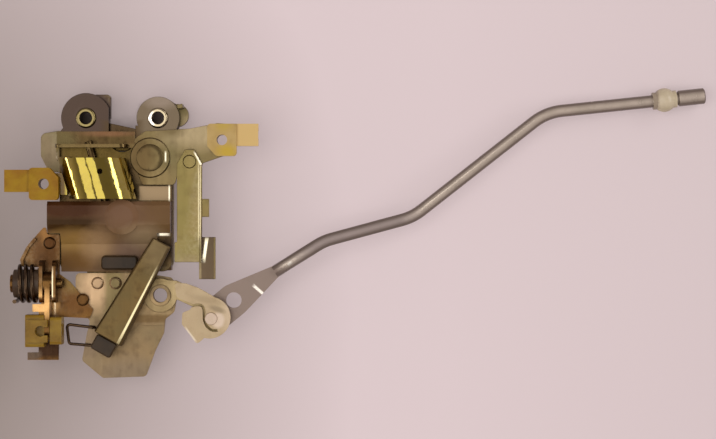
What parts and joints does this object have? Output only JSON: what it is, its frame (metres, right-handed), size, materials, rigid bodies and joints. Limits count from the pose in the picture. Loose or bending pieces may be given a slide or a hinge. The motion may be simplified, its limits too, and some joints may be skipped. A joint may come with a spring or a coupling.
{
  "type": "door latch actuator",
  "caption": "Side door latch with striker fork and pawl, locking and release levers, nylon rod clips and a long bent pull rod to the inside handle.",
  "frame": {"origin": "on the mounting face, midway between the two ear screws", "axes": "+X towards the far end of the pull rod, +Y out of the striker mouth, +Z from the door's panel up to the levers"},
  "size_m": [0.2799, 0.1163, 0.0304],
  "materials": {
    "gold_steel": "yellow passivated zinc, mirror bright",
    "olive_steel": "yellow passivated zinc, dulled",
    "pale_steel": "pale passivated zinc",
    "copper_steel": "brown passivated steel",
    "bright_steel": "clear zinc plate",
    "spring_steel": "oiled spring wire",
    "yellow_nylon": "moulded nylon",
    "pale_nylon": "moulded acetal",
    "brown_moulding": "greased moulding",
    "black_rubber": "moulded rubber"
  },
  "bodies": {
    "base": {"face_plate": "olive_steel", "pivot_stud_left": "bright_steel", "pivot_stud_right": "bright_steel", "fork_spring": "spring_steel", "pawl_spring": "spring_steel", "housing_tray": "brown_moulding", "screw_bush": "bright_steel", "mouth_cushion": "black_rubber", "back_plate": "copper_steel", "shelf_bracket": "copper_steel", "rocker_axle": "bright_steel", "housing_cover": "brown_moulding", "stop_bumper": "black_rubber", "lower_bracket": "pale_steel", "inner_eyelet": "bright_steel", "lever_stud": "bright_steel", "return_spring": "spring_steel", "crank_bracket": "copper_steel", "crank_axle": "bright_steel", "spring_bush": "brown_moulding", "crank_spring": "spring_steel", "snap_wire": "spring_steel", "bracket_rivets": "bright_steel"},
    "fork": {"fork": "copper_steel"},
    "pawl": {"pawl": "olive_steel"},
    "rocker": {"locking_rocker": "gold_steel", "left_rod_clip": "yellow_nylon"},
    "outer": {"outer_lever": "olive_steel", "right_rod_clip": "yellow_nylon", "link_pin": "bright_steel"},
    "link": {"release_link": "olive_steel"},
    "inner": {"inner_lever": "olive_steel", "lever_channel": "olive_steel", "bump_stop": "black_rubber", "hook_clip": "pale_nylon"},
    "rod": {"pull_rod": "bright_steel", "rod_pin": "bright_steel", "rod_ball": "pale_nylon", "rod_sleeve": "bright_steel"},
    "crank": {"bell_crank": "gold_steel", "lower_rod_clip": "yellow_nylon"}
  },
  "joints": [
    {"name": "fork_turn", "type": "hinge", "parent": "base", "child": "fork", "pos_m": [-0.0144, 0, 0.0047], "axis": [0, 0, 1], "range_deg": [-50, 0], "stiffness_Nm_per_rad": 0.02, "deforming": ["fork_spring"]},
    {"name": "pawl_turn", "type": "hinge", "parent": "base", "child": "pawl", "pos_m": [0.0144, 0, 0.0047], "axis": [0, 0, 1], "range_deg": [-14, 0], "deforming": ["pawl_spring"]},
    {"name": "rocker_tilt", "type": "hinge", "parent": "base", "child": "rocker", "pos_m": [-0.0088, -0.0252, 0.0146], "axis": [-0.2756, 0.9613, 0], "range_deg": [0, 12]},
    {"name": "outer_turn", "type": "hinge", "parent": "base", "child": "outer", "pos_m": [0.0116, -0.016, 0.016], "axis": [0, 0, 1], "range_deg": [0, 18], "stiffness_Nm_per_rad": 0.05, "deforming": ["return_spring"]},
    {"name": "link_turn", "type": "hinge", "parent": "outer", "child": "link", "pos_m": [0.0274, -0.0176, 0.0183], "axis": [0, 0, 1], "range_deg": [-18, 0]},
    {"name": "inner_turn", "type": "hinge", "parent": "base", "child": "inner", "pos_m": [0.0156, -0.0708, 0.0152], "axis": [0, 0, 1], "range_deg": [0, 16]},
    {"name": "rod_swing", "type": "hinge", "parent": "inner", "child": "rod", "pos_m": [0.036, -0.08, 0.014], "axis": [0, 0, 1], "range_deg": [-12, 12]},
    {"name": "crank_turn", "type": "hinge", "parent": "base", "child": "crank", "pos_m": [-0.0285, -0.066, 0.021], "axis": [-1, 0, 0], "range_deg": [0, 15], "stiffness_Nm_per_rad": 0.03, "deforming": ["crank_spring"]}
  ],
  "couplings": [
    {"joint": "pawl_turn", "follows": "fork_turn", "ratio": 0.28},
    {"joint": "link_turn", "follows": "outer_turn", "ratio": -1}
  ]
}
